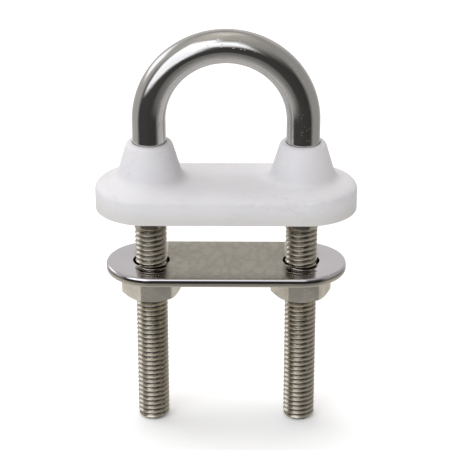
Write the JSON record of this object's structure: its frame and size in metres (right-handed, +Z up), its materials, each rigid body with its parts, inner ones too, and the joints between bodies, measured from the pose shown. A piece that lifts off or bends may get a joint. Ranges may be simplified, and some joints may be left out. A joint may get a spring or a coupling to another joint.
{
  "type": "pad eye",
  "caption": "Marine U-bolt pad eye: a polished steel U-bolt through a white collared deck base, with a backing plate and hexagon nuts for below the deck.",
  "frame": {"origin": "centre of the base's underside, which lies on the deck, midway between the legs", "axes": "+Z up, away from the deck, towards the eye; X along the line through the two legs; the eye opens along Y"},
  "size_m": [0.0628, 0.0244, 0.1016],
  "materials": {
    "polished_bar": "mirror-polished stainless steel, threads as rolled",
    "white_plastic": "satin moulded white plastic, lightly scuffed",
    "polished_plate": "polished stainless steel sheet, slightly rippled",
    "nut_steel": "satin stainless steel"
  },
  "bodies": {
    "u_bolt": {"u_bolt": "polished_bar"},
    "base": {"base": "white_plastic"},
    "backing_plate": {"backing_plate": "polished_plate"},
    "left_nut": {"left_nut": "nut_steel"},
    "right_nut": {"right_nut": "nut_steel"}
  },
  "joints": [
    {"name": "base_slide", "type": "slide", "parent": "u_bolt", "child": "base", "axis": [0, 0, 1], "range_m": [-0.003, 0.007]},
    {"name": "plate_slide", "type": "slide", "parent": "u_bolt", "child": "backing_plate", "axis": [0, 0, 1], "range_m": [-0.0331, 0.0111]},
    {"name": "left_nut_turn", "type": "hinge", "parent": "backing_plate", "child": "left_nut", "pos_m": [-0.01825, 0, -0.0167], "axis": [0, 0, 1], "range_deg": [-9504, 3168]},
    {"name": "right_nut_turn", "type": "hinge", "parent": "backing_plate", "child": "right_nut", "pos_m": [0.01825, 0, -0.0167], "axis": [0, 0, 1], "range_deg": [-9505, 3169]}
  ],
  "couplings": [
    {"joint": "plate_slide", "follows": "left_nut_turn", "m_per_rad": 0.00019894},
    {"joint": "right_nut_turn", "follows": "left_nut_turn", "ratio": 1}
  ]
}
